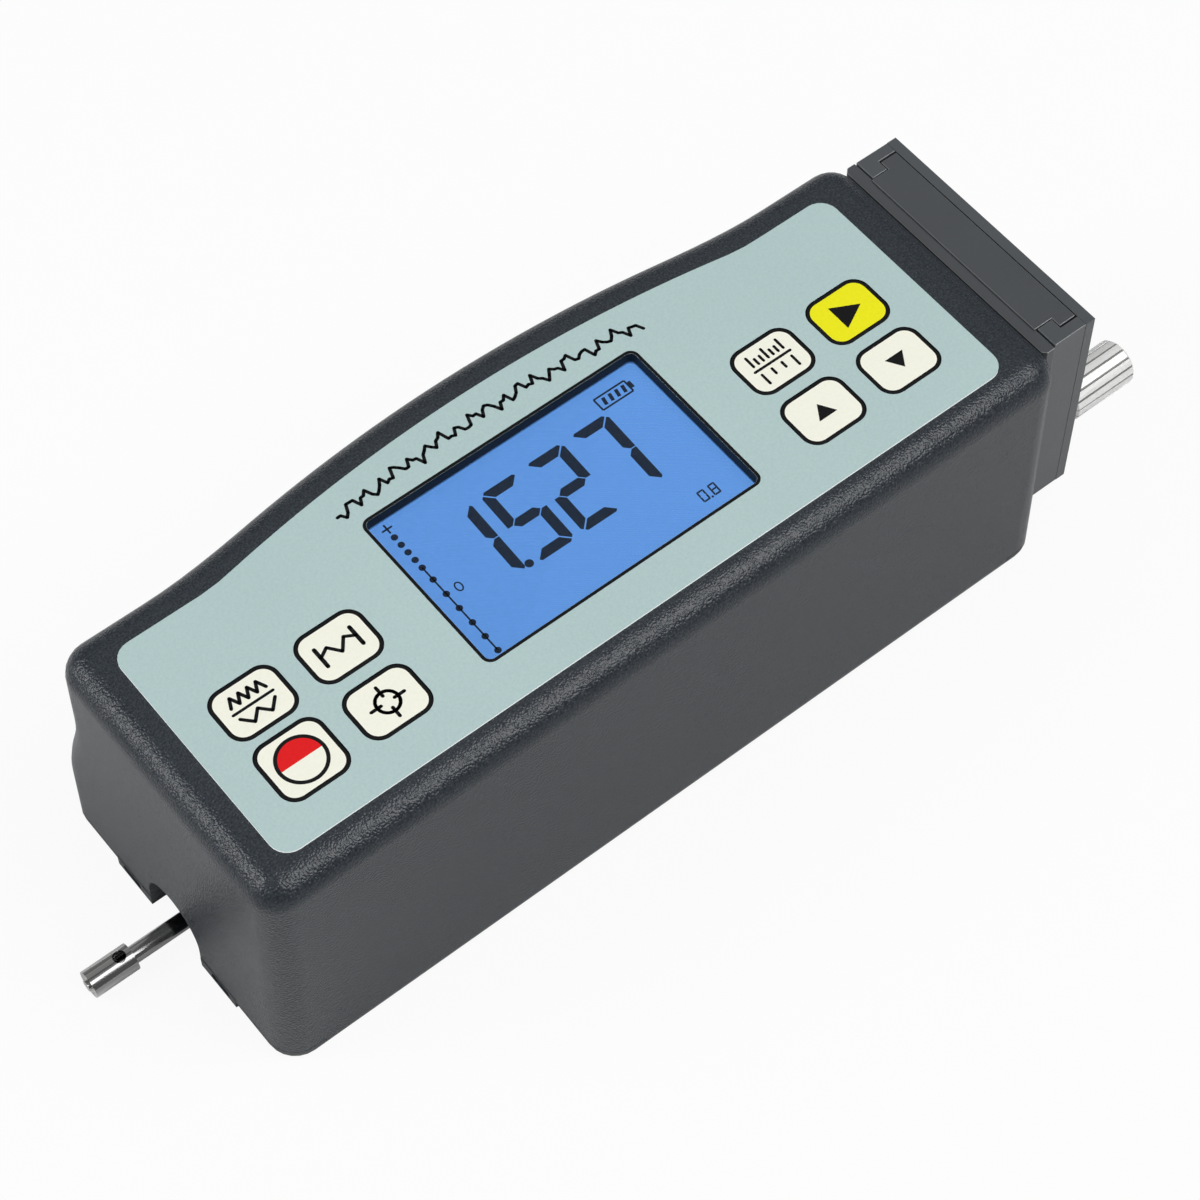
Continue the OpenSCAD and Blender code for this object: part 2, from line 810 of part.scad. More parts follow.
// Drive unit

// spur gear outline with involute flanks
module gear_plan(teeth) {
    pressure = 20;
    thin = 0.08;
    pitch_r = gear_m * teeth / 2;
    base_r = pitch_r * cos(pressure);
    tip_r = pitch_r + 0.9 * gear_m;
    root_r = pitch_r - 1.25 * gear_m;
    roll_max = sqrt(tip_r * tip_r / (base_r * base_r) - 1);
    pitch_turn = tan(pressure) * 180 / PI - pressure;
    half_tooth = 90 / teeth - thin / pitch_r * 180 / PI;
    flank = [
        for (k = [0:4])
            let (roll = roll_max * k / 4)
            [
                base_r * sqrt(1 + roll * roll),
                half_tooth + pitch_turn - roll * 180 / PI + atan(roll)
            ]
    ];
    root_a = flank[0][1];
    tooth = concat([[root_r, root_a]], flank);
    polygon([
        for (t = [0:teeth - 1])
            let (a = 360 * t / teeth)
            each concat(
                [for (p = tooth) [p[0] * cos(a - p[1]), p[0] * sin(a - p[1])]],
                [for (k = [len(tooth) - 1:-1:0])
                    let (p = tooth[k])
                    [p[0] * cos(a + p[1]), p[0] * sin(a + p[1])]]
            )
    ]);
}

module drive_frame() {
    rod_y = rod_pitch / 2;
    color("#8d9298")
    difference() {
        union() {
            box(wall_a, wall_c + frame_t, -frame_w / 2, frame_w / 2, base_t, base_t + frame_floor);
            for (x = [wall_a, wall_b])
                box(x, x + frame_t, -frame_w / 2, frame_w / 2, base_t, drive_z + carriage_h / 2);
            box(wall_c, wall_c + frame_t, -motor_d / 2 - 1, motor_d / 2 + 1, base_t, frame_top);
        }
        box(wall_a - 1, -half_l + channel_l, -slot_w / 2, slot_w / 2, base_t - 1, base_t + frame_floor + 1);
        box(wall_a - 1, wall_a + frame_t + 1, -slot_w / 2, slot_w / 2,
            base_t, sensor_z + sensor_d / 2 + 0.5);
        for (x = [wall_a, wall_b], s = [-1, 1])
            rod_x(rod_d, x - 1, x + frame_t + 1, s * rod_y, drive_z);
        for (x = [wall_a, wall_b])
            rod_x(journal_d + 2 * run_gap, x - 1, x + frame_t + 1, 0, drive_z);
        rod_x(motor_boss_d + 2 * screw_gap, wall_c - 1, wall_c + frame_t + 1, 0, motor_z);
        for (p = drive_screws_at)
            rod_z(screw_m + 2 * screw_gap, p[0], p[1], base_t - 1, base_t + frame_floor + 1);
    }
}

module guide_rods() {
    color("silver")
    for (s = [-1, 1])
        rod_x(rod_d, wall_a, wall_b + frame_t, s * rod_pitch / 2, drive_z);
}

module drive_carriage() {
    color("#30343a")
    difference() {
        box(carriage_x, carriage_x + carriage_l, -frame_w / 2, frame_w / 2,
            carriage_z, carriage_z + carriage_h);
        for (s = [-1, 1])
            rod_x(rod_d + 2 * run_gap, carriage_x - 1, carriage_x + carriage_l + 1,
                s * rod_pitch / 2, drive_z);
        rod_x(screw_d + 2 * run_gap, carriage_x - 1, carriage_x + carriage_l + 1, 0, drive_z);
    }
}

module pickup_socket() {
    floor_z = channel_floor + 0.4;
    color("#4a3f35")
    difference() {
        box(socket_x, plug_end + 1.6, -socket_w / 2, socket_w / 2, floor_z, carriage_z);
        rod_x(plug_d + 2 * run_gap, socket_x - 1, plug_end + run_gap, 0, sensor_z);
    }
}

module lead_screw() {
    color("#c9b26a")
    union() {
        rod_x(journal_d, wall_a, gear_x + gear_w, 0, drive_z);
        rod_x(screw_d, wall_a + frame_t + 0.3, wall_b - 0.3, 0, drive_z);
    }
}

module screw_gear() {
    color("#c8a24a")
    difference() {
        translate([0, 0, drive_z])
            along_x(gear_x, gear_x + gear_w)
                gear_plan(gear_teeth);
        rod_x(journal_d, gear_x - 1, gear_x + gear_w + 1, 0, drive_z);
    }
}

module drive_motor() {
    back = wall_c + frame_t;
    color("#aeb2b6")
    difference() {
        union() {
            rod_x(motor_d, back, back + motor_l, 0, motor_z);
            rod_x(motor_boss_d, wall_c, back + eps, 0, motor_z);
            rod_x(motor_boss_d, back + motor_l - eps, back + motor_l + 1.4, 0, motor_z);
        }
        rod_x(shaft_d + 2 * run_gap, wall_c - 1, back + shaft_in + 1, 0, motor_z);
    }
}

module motor_pinion() {
    color("#c8a24a")
    union() {
        translate([0, 0, motor_z])
            along_x(gear_x, gear_x + gear_w)
                rotate(180 / pinion_teeth)
                    gear_plan(pinion_teeth);
        rod_x(shaft_d, gear_x, wall_c + frame_t + shaft_in, 0, motor_z);
    }
}

module drive_screws() {
    color("silver")
    for (p = drive_screws_at)
        translate([p[0], p[1], base_t + frame_floor + screw_head_h])
            mirror([0, 0, 1])
                pan_screw(screw_m, screw_head_d, screw_head_h,
                    frame_floor + base_t - channel_floor - head_sink);
}

// Pickup

module pickup_tube() {
    color("#d9dcdf")
    difference() {
        union() {
            rod_x(tube_d, nose_end - nose_web / 2, sensor_x + eps, 0, pickup_z);
            rod_x(sensor_d, sensor_x, socket_x, 0, sensor_z);
            rod_x(plug_d, socket_x - eps, plug_end, 0, sensor_z);
        }
        rod_x(tube_bore, nose_tip, sensor_x + 4, 0, pickup_z);
        translate([pivot_x, -tube_d, pickup_z])
            rotate([-90, 0, 0])
                cylinder(d = pivot_d, h = 2 * tube_d);
    }
}

module pickup_nose() {
    color("#e2e5e8")
    difference() {
        rod_x(nose_d, nose_tip, nose_end, 0, pickup_z);
        rod_x(nose_bore, nose_tip - 1, nose_end - nose_web, 0, pickup_z);
        rod_x(tube_bore, nose_tip - 1, nose_end + 1, 0, pickup_z);
        rod_x(tube_d, nose_end - nose_web / 2, nose_end + 1, 0, pickup_z);
        rod_z(peep_d, nose_end - nose_web - peep_d / 2, 0, pickup_z, pickup_z + nose_d);
        rod_z(lever_d + 2 * lever_clear, stylus_x, 0, -1, pickup_z);
    }
}

module nose_cap() {
    rim = 0.7;
    stud_d = 1.8;
    color("#f0f1f2")
    union() {
        rod_x(nose_bore, nose_tip, nose_tip + rim, 0, pickup_z);
        rod_x(stud_d, nose_tip - rim / 2, nose_tip + eps, 0, pickup_z);
    }
}

module stylus_lever() {
    color("#b9bdc1")
    difference() {
        union() {
            rod_x(lever_d, stylus_x - lever_d / 2, pivot_x + 8, 0, pickup_z);
            rod_x(tube_bore - 2 * lever_clear, pivot_x + 6, pivot_x + 9, 0, pickup_z);
        }
        translate([pivot_x, -lever_d, pickup_z])
            rotate([-90, 0, 0])
                cylinder(d = pivot_d + 2 * run_gap, h = 2 * lever_d);
        rod_z(lever_d / 2, stylus_x, 0, -1, pickup_z);
    }
}

module stylus_tip() {
    point = 0.5;
    color("#efe9d2")
    translate([stylus_x, 0, stylus_z])
        rotate_extrude()
            polygon([
                [0, 0], [lever_d / 4, point], [lever_d / 4, pickup_z - stylus_z], [0, pickup_z - stylus_z]
            ]);
}

module stylus_pin() {
    color("silver")
    translate([pivot_x, -tube_d / 2, pickup_z])
        rotate([-90, 0, 0])
            cylinder(d = pivot_d, h = tube_d);
}

// Height adjuster

module rail_plate() {
    color("#2b2e31")
    difference() {
        translate([0, rail_y, rail_bottom])
            union() {
                linear_extrude(rail_top - plate_step - rail_bottom)
                    polygon([
                        [seat_x, -plate_w / 2 + plate_edge], [seat_x + plate_edge, -plate_w / 2],
                        [plate_x, -plate_w / 2], [plate_x, plate_w / 2],
                        [seat_x + plate_edge, plate_w / 2], [seat_x, plate_w / 2 - plate_edge]
                    ]);
                linear_extrude(rail_top - rail_bottom)
                    polygon([
                        [plate_x - eps, -neck_w / 2], [neck_x, -neck_w / 2],
                        [neck_x, -head_w / 2], [head_x, -head_w / 2],
                        [head_x, head_w / 2], [neck_x, head_w / 2],
                        [neck_x, neck_w / 2], [plate_x - eps, neck_w / 2]
                    ]);
            }
        for (p = rail_holes) {
            rod_x(screw_m + 2 * screw_gap, seat_x - 1, head_x + 1, p[0], p[1]);
            rod_x(screw_head_d + 2 * screw_gap, head_x - screw_head_h - 2 * head_sink, head_x + 1,
                p[0], p[1]);
        }
    }
}

module rail_screws() {
    color("#3c4044")
    for (p = rail_holes)
        translate([head_x - 2 * head_sink, p[0], p[1]])
            rotate([0, -90, 0])
                pan_screw(screw_m, screw_head_d, screw_head_h, rail_screw_l);
}

// one side of the slider, hooked behind the rail's head
module cheek(side) {
    g = slide_gap;
    lip_x0 = plate_x + g;
    lip_x1 = neck_x - g;
    difference() {
        translate([0, rail_y, slider_z])
            linear_extrude(slider_l)
                polygon([
                    for (p = [
                        [lip_x0, neck_w / 2 + g], [lip_x0, slider_w / 2],
                        [back_x, slider_w / 2], [back_x, slider_w / 2 - cheek_t],
                        [lip_x1, slider_w / 2 - cheek_t], [lip_x1, neck_w / 2 + g]
                    ]) [p[0], side * p[1]]
                ]);
        for (p = cheek_holes)
            rod_x(cheek_screw_d, back_x - cheek_screw_l, back_x + 1, p[0], p[1]);
    }
}

module near_cheek() {
    color("#26292c") cheek(-1);
}

module far_cheek() {
    color("#26292c") cheek(1);
}

module slider_back_plate() {
    color("#2e3134")
    difference() {
        translate([0, rail_y, slider_z])
            box(back_x, back_x + back_t, -slider_w / 2, slider_w / 2, 0, slider_l);
        rod_x(shank_d + 2 * run_gap, back_x - 1, back_x + back_t + 1, knob_y, knob_z);
        for (p = cheek_holes) {
            rod_x(cheek_screw_d, back_x - 1, back_x + back_t + 1, p[0], p[1]);
            rod_x(cheek_head_d, back_x + back_t - cheek_head_h - head_sink / 2, back_x + back_t + 1,
                p[0], p[1]);
        }
    }
}

module cheek_screws() {
    color("#3c4044")
    for (p = cheek_holes)
        translate([back_x + back_t - head_sink / 2, p[0], p[1]])
            rotate([0, -90, 0])
                pan_screw(cheek_screw_d, cheek_head_d, cheek_head_h, cheek_screw_l);
}

module clamp_knob() {
    edge = 0.5;
    r = knob_d / 2;
    color("#c9ccce")
    union() {
        rod_x(shank_d, head_x + clamp_gap, knob_x + eps, knob_y, knob_z);
        translate([knob_x, knob_y, knob_z])
            rotate([0, 90, 0])
                intersection() {
                    linear_extrude(knob_l)
                        polygon([
                            for (k = [0:knurls - 1], f = [-0.45, -0.38, 0, 0.38, 0.45])
                                let (a = 360 * (k + f) / knurls, d = abs(f) > 0.4 ? knurl_deep : 0)
                                [(r - d) * cos(a), (r - d) * sin(a)]
                        ]);
                    rotate_extrude()
                        polygon([
                            [0, 0], [r - edge, 0], [r, edge], [r, knob_l - edge], [r - edge, knob_l],
                            [0, knob_l]
                        ]);
                }
    }
}

module base_screws() {
    color("silver")
    for (p = posts)
        translate([p[0], p[1], head_sink])
            pan_screw(screw_m, screw_head_d, screw_head_h, base_screw_l);
}

main_housing();
base_cover();
front_label();
display_pane();
lcd_panel();
lcd_backlight();
power_key();
parameter_key();
cutoff_key();
calibrate_key();
unit_key();
start_key();
up_key();
down_key();
main_board();
key_switches();
board_screws();
battery_pack();
drive_frame();
guide_rods();
drive_carriage();
pickup_socket();
lead_screw();
screw_gear();
drive_motor();
motor_pinion();
drive_screws();
pickup_tube();
pickup_nose();
nose_cap();
stylus_lever();
stylus_tip();
stylus_pin();
rail_plate();
rail_screws();
near_cheek();
far_cheek();
slider_back_plate();
cheek_screws();
clamp_knob();
base_screws();
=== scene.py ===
import math

import bmesh
import bpy
from mathutils import Matrix, Vector


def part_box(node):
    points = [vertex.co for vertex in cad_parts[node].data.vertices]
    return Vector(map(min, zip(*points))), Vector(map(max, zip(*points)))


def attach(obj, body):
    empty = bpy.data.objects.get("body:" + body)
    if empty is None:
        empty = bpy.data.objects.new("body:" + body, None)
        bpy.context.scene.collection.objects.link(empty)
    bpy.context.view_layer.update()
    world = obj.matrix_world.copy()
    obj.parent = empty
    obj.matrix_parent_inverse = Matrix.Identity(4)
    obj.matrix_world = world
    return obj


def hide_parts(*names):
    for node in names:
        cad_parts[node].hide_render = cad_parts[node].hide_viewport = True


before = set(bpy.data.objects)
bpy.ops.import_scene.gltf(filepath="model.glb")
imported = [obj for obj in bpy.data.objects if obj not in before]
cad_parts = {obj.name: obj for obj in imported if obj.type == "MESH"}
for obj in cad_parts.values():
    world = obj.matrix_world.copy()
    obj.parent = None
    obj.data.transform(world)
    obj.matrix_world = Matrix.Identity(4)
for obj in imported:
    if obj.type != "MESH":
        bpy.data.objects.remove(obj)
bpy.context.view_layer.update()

scene = bpy.context.scene
scene.view_settings.view_transform = "Standard"


# Studio: a pale seamless floor, a dim white room and four large soft boxes.
# The camera stands to the front left of the tester and looks down on its deck.
mm = 0.001
white = (1, 1, 1, 1)


class Tone:
    """A socket among a finish's nodes; arithmetic on tones adds Math nodes."""

    def __init__(self, tree, socket=None):
        self.tree, self.socket = tree, socket

    def node(self, kind, settings=(), sockets=(), out=0):
        made = self.tree.nodes.new(kind)
        for name, value in dict(settings).items():
            setattr(made, name, value)
        for name, value in dict(sockets).items():
            if isinstance(value, Tone):
                self.tree.links.new(value.socket, made.inputs[name])
            else:
                made.inputs[name].default_value = value
        return Tone(self.tree, made.outputs[out] if made.outputs else None)

    def beside(self, out):
        """Another output of the node that this tone comes from."""
        return Tone(self.tree, self.socket.node.outputs[out])

    def math(self, operation, a, b=0.0):
        return self.node("ShaderNodeMath", {"operation": operation}, {0: a, 1: b})

    def noise(self, place, scale, detail=2.0, rough=0.5):
        """Cloudy noise with this many features to the metre."""
        return self.node("ShaderNodeTexNoise", sockets={
            "Vector": place, "Scale": scale, "Detail": detail, "Roughness": rough})

    def bump(self, strength, depth):
        """Surface normals with this tone as the height."""
        return self.node("ShaderNodeBump", sockets={
            "Strength": strength, "Distance": depth, "Height": self})

    def blend(self, a, b):
        """Colour a where this tone is 0, colour b where it is 1."""
        return self.node("ShaderNodeMix", {"data_type": "RGBA"}, {0: self, 6: a, 7: b}, out=2)

    def __add__(self, other):
        return self.math("ADD", self, other)

    def __sub__(self, other):
        return self.math("SUBTRACT", self, other)

    def __rsub__(self, other):
        return self.math("SUBTRACT", other, self)

    def __mul__(self, other):
        return self.math("MULTIPLY", self, other)

    __radd__, __rmul__ = __add__, __mul__


def new_tree(owner):
    owner.use_nodes = True
    owner.node_tree.nodes.clear()
    return Tone(owner.node_tree)


def seen_directly(tone):
    """1 where the camera looks, also through a clear piece, and 0 for every other ray."""
    rays = tone.node("ShaderNodeLightPath")
    straight = rays.beside("Is Camera Ray") + rays.beside("Is Transmission Ray")
    return tone.math("MINIMUM", straight, 1.0)


bm = bmesh.new()
bmesh.ops.create_grid(bm, x_segments=1, y_segments=1, size=3)
floor = bpy.data.objects.new("floor", bpy.data.meshes.new("floor"))
bm.to_mesh(floor.data)
bm.free()
scene.collection.objects.link(floor)

paper = bpy.data.materials.new("studio_paper")
tone = new_tree(paper)
grain = tone.noise(tone.node("ShaderNodeTexCoord", out="Object"), scale=60.0, detail=3.0)
matt = tone.node("ShaderNodeBsdfDiffuse", sockets={
    "Color": grain.blend((0.70, 0.70, 0.70, 1), (0.74, 0.74, 0.74, 1))})
glow = tone.node("ShaderNodeEmission", sockets={"Color": white, "Strength": 1.0})
glow_share = 0.92
tone.node("ShaderNodeOutputMaterial", sockets={
    "Surface": tone.node("ShaderNodeMixShader", sockets={
        0: seen_directly(tone) * glow_share, 1: matt, 2: glow})})
floor.data.materials.append(paper)

world = bpy.data.worlds.new("white_room")
scene.world = world
tone = new_tree(world)
room = tone.node("ShaderNodeBackground", sockets={"Color": white, "Strength": 0.24})
wall = tone.node("ShaderNodeBackground", sockets={"Color": white, "Strength": 1.0})
tone.node("ShaderNodeOutputWorld", sockets={
    "Surface": tone.node("ShaderNodeMixShader", sockets={
        0: seen_directly(tone), 1: room, 2: wall})})


def soft_box(name, place, aim, width, height, watts):
    lamp = bpy.data.lights.new(name, "AREA")
    lamp.shape, lamp.size, lamp.size_y, lamp.energy = "RECTANGLE", width, height, watts
    box = bpy.data.objects.new(name, lamp)
    box.location = place
    box.rotation_euler = (Vector(aim) - Vector(place)).to_track_quat("-Z", "Y").to_euler()
    scene.collection.objects.link(box)


soft_box("box_over", (-0.28, -0.34, 0.95), (0, 0, 0.03), width=1.1, height=1.1, watts=1.2)
soft_box("box_near", (0.33, -0.46, 0.84), (0, 0, 0.02), width=0.66, height=0.66, watts=6.2)
soft_box("box_front", (-0.75, 0.36, 0.55), (0, 0, 0.02), width=0.45, height=0.6, watts=4.4)
soft_box("box_back", (0.25, 0.45, 0.85), (0, 0, 0.03), width=0.7, height=0.7, watts=0.6)

camera = bpy.data.objects.new("camera", bpy.data.cameras.new("camera"))
camera.data.lens, camera.data.sensor_width = 99.68, 36.0
camera.data.clip_start, camera.data.clip_end = 0.01, 20.0
camera.location = (-0.15542, -0.20459, 0.42161)
camera.rotation_euler = [math.radians(a) for a in (32.566, 0.132, -38.584)]
scene.collection.objects.link(camera)
scene.camera = camera


# Housing: one injection moulded shell in charcoal plastic with a sand blasted texture.
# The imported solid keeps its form; its facets are joined and shaded as the smooth skin
# they stand for.
def piece(name, bm, body, *materials):
    """A finished piece at the origin, riding on its body."""
    mesh = bpy.data.meshes.new(name)
    bm.to_mesh(mesh)
    bm.free()
    made = bpy.data.objects.new(name, mesh)
    scene.collection.objects.link(made)
    for material in materials:
        mesh.materials.append(material)
    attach(made, body)
    return made


def smooth_skin(node, name, body, crease, material):
    """The node's own skin with its facets merged, creased where they meet past crease degrees."""
    bm = bmesh.new()
    bm.from_mesh(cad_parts[node].data)
    bmesh.ops.remove_doubles(bm, verts=bm.verts, dist=0.002 * mm)
    bmesh.ops.dissolve_degenerate(bm, edges=bm.edges, dist=0.001 * mm)
    for edge in bm.edges:
        edge.smooth = len(edge.link_faces) == 2 and edge.calc_face_angle() < math.radians(crease)
    for face in bm.faces:
        face.smooth, face.material_index = True, 0
    made = piece(name, bm, body, material)
    weigh = made.modifiers.new("flats_stay_flat", "WEIGHTED_NORMAL")
    weigh.mode, weigh.weight, weigh.keep_sharp = "FACE_AREA", 50, True
    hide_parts(node)
    return made


def rgba(colour, level=1.0):
    return (*(min(c * level, 1) for c in colour), 1)


def finish(name, **constants):
    """A new material with a tone to build with, the place on the piece and its shader's feed."""
    material = bpy.data.materials.new(name)
    tone = new_tree(material)
    shader = tone.node("ShaderNodeBsdfPrincipled", sockets=constants)
    tone.node("ShaderNodeOutputMaterial", sockets={"Surface": shader})
    place = tone.node("ShaderNodeTexCoord", out="Object")

    def feed(**sockets):
        for label, value in sockets.items():
            tone.tree.links.new(value.socket, shader.socket.node.inputs[label.replace("_", " ")])

    return material, tone, place, feed


def moulded(name, dark, light, grain, depth, rough):
    """Moulded plastic: fine texture, slow colour drift and uneven gloss."""
    material, tone, place, feed = finish(name, **{"Specular IOR Level": 0.42})
    texture = tone.noise(place, scale=1 / grain, detail=0.6)
    drift = tone.noise(place, scale=50.0)
    feed(Base_Color=((texture - 0.5) * 3.2 + drift * 0.4 + 0.3).blend(rgba(dark), rgba(light)),
         Roughness=(texture - 0.5) * 0.20 + (drift - 0.5) * 0.06 + rough,
         Normal=texture.bump(1.0, depth))
    return material


sand_plastic = moulded("sand_textured_plastic", (0.013, 0.0175, 0.0235), (0.028, 0.036, 0.045),
                       grain=0.29 * mm, depth=0.13 * mm, rough=0.23)
mould_crease = 24
shell = smooth_skin("main_housing", "housing_shell", "housing", mould_crease, sand_plastic)


# Base cover: a moulded panel let in between the side walls and screwed to four posts, with a
# lip below the housing at either end. The front lip has two square bosses with slots for a
# clip on support.
# the cover's plastic is coloured about twice as light as the housing's: painted light on its lip
# and bosses, which sit in the housing's shade
cover_plastic = moulded("cover_plastic", (0.024, 0.028, 0.033), (0.046, 0.052, 0.058),
                        grain=0.40 * mm, depth=0.08 * mm, rough=0.40)
smooth_skin("base_cover", "cover_panel", "housing", mould_crease, cover_plastic)


# Label: a satin polycarbonate film, pale grey green, printed in black and stuck on the deck.
# Its cut edge is given a painted glow, nearly white. A roughness trace runs along the curved far
# edge.
film, tone, place, feed = finish("label_film", **{"Specular IOR Level": 0.4})
tooth = tone.noise(place, scale=2600.0)
tint = tone.noise(place, scale=30.0)
feed(Base_Color=((tooth - 0.5) * 1.4 + tint * 0.5 + 0.25).blend(
         (0.375, 0.500, 0.500, 1), (0.450, 0.580, 0.575, 1)),
     Roughness=tooth * 0.16 + 0.38,
     Normal=tooth.bump(0.35, 0.02 * mm))


def inked(name, colour, fleck):
    """Screen printed ink, a pad's painted field or a ground stone."""
    material, tone, place, feed = finish(name, **{"Specular IOR Level": 0.16})
    tooth = tone.noise(place, scale=2400.0)
    feed(Base_Color=tooth.blend(rgba(colour, 1 - fleck), rgba(colour, 1 + fleck)),
         Roughness=tooth * 0.2 + 0.36,
         Normal=tooth.bump(0.3, 0.015 * mm))
    return material


black = inked("black_ink", (0.004, 0.004, 0.005), 0.3)

# the cut edge of the film glows nearly white: a painted glow, so its near and front edges show as
# bright lines
cut_edge_painted_glow, tone, place, feed = finish("cut_film_edge_painted_glow", **{
    "Roughness": 0.4, "Emission Strength": 0.55})
painted_glow_tint = tone.noise(place, scale=400.0).blend((0.80, 0.86, 0.85, 1), (0.94, 0.97, 0.96, 1))
feed(Base_Color=painted_glow_tint, Emission_Color=painted_glow_tint)

film_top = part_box("front_label")[1][2]
ink_t = 0.015 * mm
sheet = smooth_skin("front_label", "label_sheet", "housing", mould_crease, film)
sheet.data.materials.append(black)
sheet.data.materials.append(cut_edge_painted_glow)


def within(box, point):
    """Whether a point of the deck plan lies in this box or just beside it."""
    low, high = box
    return all(low[k] - mm < point[k] < high[k] + mm for k in (0, 1))


openings = [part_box(n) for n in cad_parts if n.endswith("_key") or n == "display_pane"]
for vertex in sheet.data.vertices:
    vertex.co.z = min(vertex.co.z, film_top - ink_t)
for face in sheet.data.polygons:
    if abs(face.normal.z) < 0.5:
        # side faces at the key and display openings take the black ink; the outer cut edges take
        # the painted glow
        face.material_index = 1 if any(within(box, face.center) for box in openings) else 2

# the walls of the display opening take the black ink as painted shade, so the recess stays dark
# instead of showing the display's blue light
shell.data.materials.append(black)
pane_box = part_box("display_pane")
for face in shell.data.polygons:
    above = face.center.z > pane_box[0][2]
    if above and abs(face.normal.z) < 0.5 and within(pane_box, face.center):
        # painted shade on the opening's walls
        face.material_index = 1


def new_verts(made):
    return [v for v in made["geom"] if isinstance(v, bmesh.types.BMVert)]


def stamp(bm, corners, low, high):
    """A thin flat mark with these corners, in millimetres on the deck plan."""
    face = bm.faces.new([bm.verts.new((x * mm, y * mm, low)) for x, y in corners])
    face.normal_update()
    if face.normal.z < 0:
        face.normal_flip()
    top = bmesh.ops.extrude_face_region(bm, geom=[face])
    bmesh.ops.translate(bm, vec=(0, 0, high - low), verts=new_verts(top))
    bmesh.ops.recalc_face_normals(bm, faces=bm.faces)


def bar(bm, a, b, thick, low, high):
    """A straight mark from a to b."""
    a, b = Vector(a), Vector(b)
    run = (b - a).normalized()
    side = Vector((-run.y, run.x)) * thick / 2
    stamp(bm, [a - side, b - side, b + side, a + side], low, high)


def dot(bm, centre, radius, low, high, sides=20):
    """A round mark about this centre."""
    x, y = centre
    turns = [2 * math.pi * k / sides for k in range(sides)]
    stamp(bm, [(x + radius * math.cos(t), y + radius * math.sin(t)) for t in turns], low, high)


def line(bm, points, thick, low, high):
    """A drawn line through these points with round joins and ends."""
    for a, b in zip(points, points[1:]):
        bar(bm, a, b, thick, low, high)
        dot(bm, b, thick / 2, low, high, 10)
    dot(bm, points[0], thick / 2, low, high, 10)


# the trace follows the bulge of the far edge
film_ink = film_top - 2 * ink_t, film_top
trace_half, trace_step, trace_high, trace_thick = 26.5, 0.55, 1.35, 0.50
bulge_y, bulge_drop = 17.3, 1.7
waves = (0.55, 2.3, 0.0), (0.30, 5.1, 1.0), (0.28, 0.83, 2.0)
trace = []
for k in range(int(2 * trace_half / trace_step) + 1):
    x = -trace_half + k * trace_step
    rise = sum(high * math.sin(pace * x + start) for high, pace, start in waves)
    trace.append((x, bulge_y - bulge_drop * (x / trace_half) ** 2 + trace_high * rise))
bm = bmesh.new()
line(bm, trace, trace_thick, *film_ink)
piece("label_trace", bm, "housing", black)

# a printed border runs round the display opening
rim_in, rim_out, window_r = 0.12 * mm, 0.48 * mm, 1.0 * mm
low, high = pane_box
bm = bmesh.new()
bmesh.ops.create_grid(bm, x_segments=1, y_segments=1, size=0.5)
bmesh.ops.scale(bm, vec=(high[0] - low[0] + 2 * (rim_in + rim_out),
                         high[1] - low[1] + 2 * (rim_in + rim_out), 1), verts=bm.verts)
bmesh.ops.translate(bm, vec=((low[0] + high[0]) / 2, (low[1] + high[1]) / 2, film_ink[0]),
                    verts=bm.verts)
bmesh.ops.bevel(bm, geom=bm.verts[:], offset=window_r + rim_out, segments=8, profile=0.5,
                affect="VERTICES", material=-1)
opening = bm.faces[:]
bmesh.ops.inset_region(bm, faces=opening, thickness=rim_out, use_even_offset=True,
                       use_boundary=True)
bmesh.ops.delete(bm, geom=opening, context="FACES_ONLY")
grown = bmesh.ops.extrude_face_region(bm, geom=bm.faces[:])
bmesh.ops.translate(bm, vec=(0, 0, 2 * ink_t), verts=new_verts(grown))
bmesh.ops.recalc_face_normals(bm, faces=bm.faces)
piece("window_border", bm, "housing", black)


# Display: a clear pane over a backlit blue glass whose dark marks lie under the pane.
# The glass is clamped between the deck and the light guide on the board.
def dress(node, material):
    """The node's own solid in this material."""
    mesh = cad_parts[node].data
    mesh.materials.clear()
    mesh.materials.append(material)


blue_glass, tone, place, feed = finish("lit_blue_glass", **{
    "Roughness": 0.35, "Specular IOR Level": 0.1, "Emission Strength": 0.85})
along = tone.node("ShaderNodeSeparateXYZ", sockets={"Vector": place}, out="X")
lamp_side = along * 8.0 + along.beside("Y") * 4.0 + 0.5
pattern = lamp_side * 0.6 + tone.noise(place, scale=900.0, detail=1.0) * 0.4
feed(Base_Color=pattern.blend((0.012, 0.045, 0.14, 1), (0.018, 0.060, 0.17, 1)),
     Emission_Color=pattern.blend((0.126, 0.318, 0.710, 1), (0.140, 0.346, 0.755, 1)))
dress("lcd_panel", blue_glass)

clear = bpy.data.materials.new("clear_pane")
tone = new_tree(clear)
sheen = tone.node("ShaderNodeFresnel", sockets={"IOR": 1.45})
haze = tone.noise(tone.node("ShaderNodeTexCoord", out="Object"), scale=200.0)
tone.node("ShaderNodeOutputMaterial", sockets={
    "Surface": tone.node("ShaderNodeMixShader", sockets={
        0: sheen * (haze * 0.2 + 0.25),
        1: tone.node("ShaderNodeBsdfTransparent", sockets={"Color": (0.98, 0.99, 1.0, 1)}),
        2: tone.node("ShaderNodeBsdfGlossy", sockets={
            "Color": (0.9, 0.95, 1.0, 1), "Roughness": 0.12})})})
dress("display_pane", clear)

dress("lcd_backlight", moulded("frosted_light_guide", (0.70, 0.76, 0.80), (0.84, 0.88, 0.92),
                               grain=0.8 * mm, depth=0.01 * mm, rough=0.35))

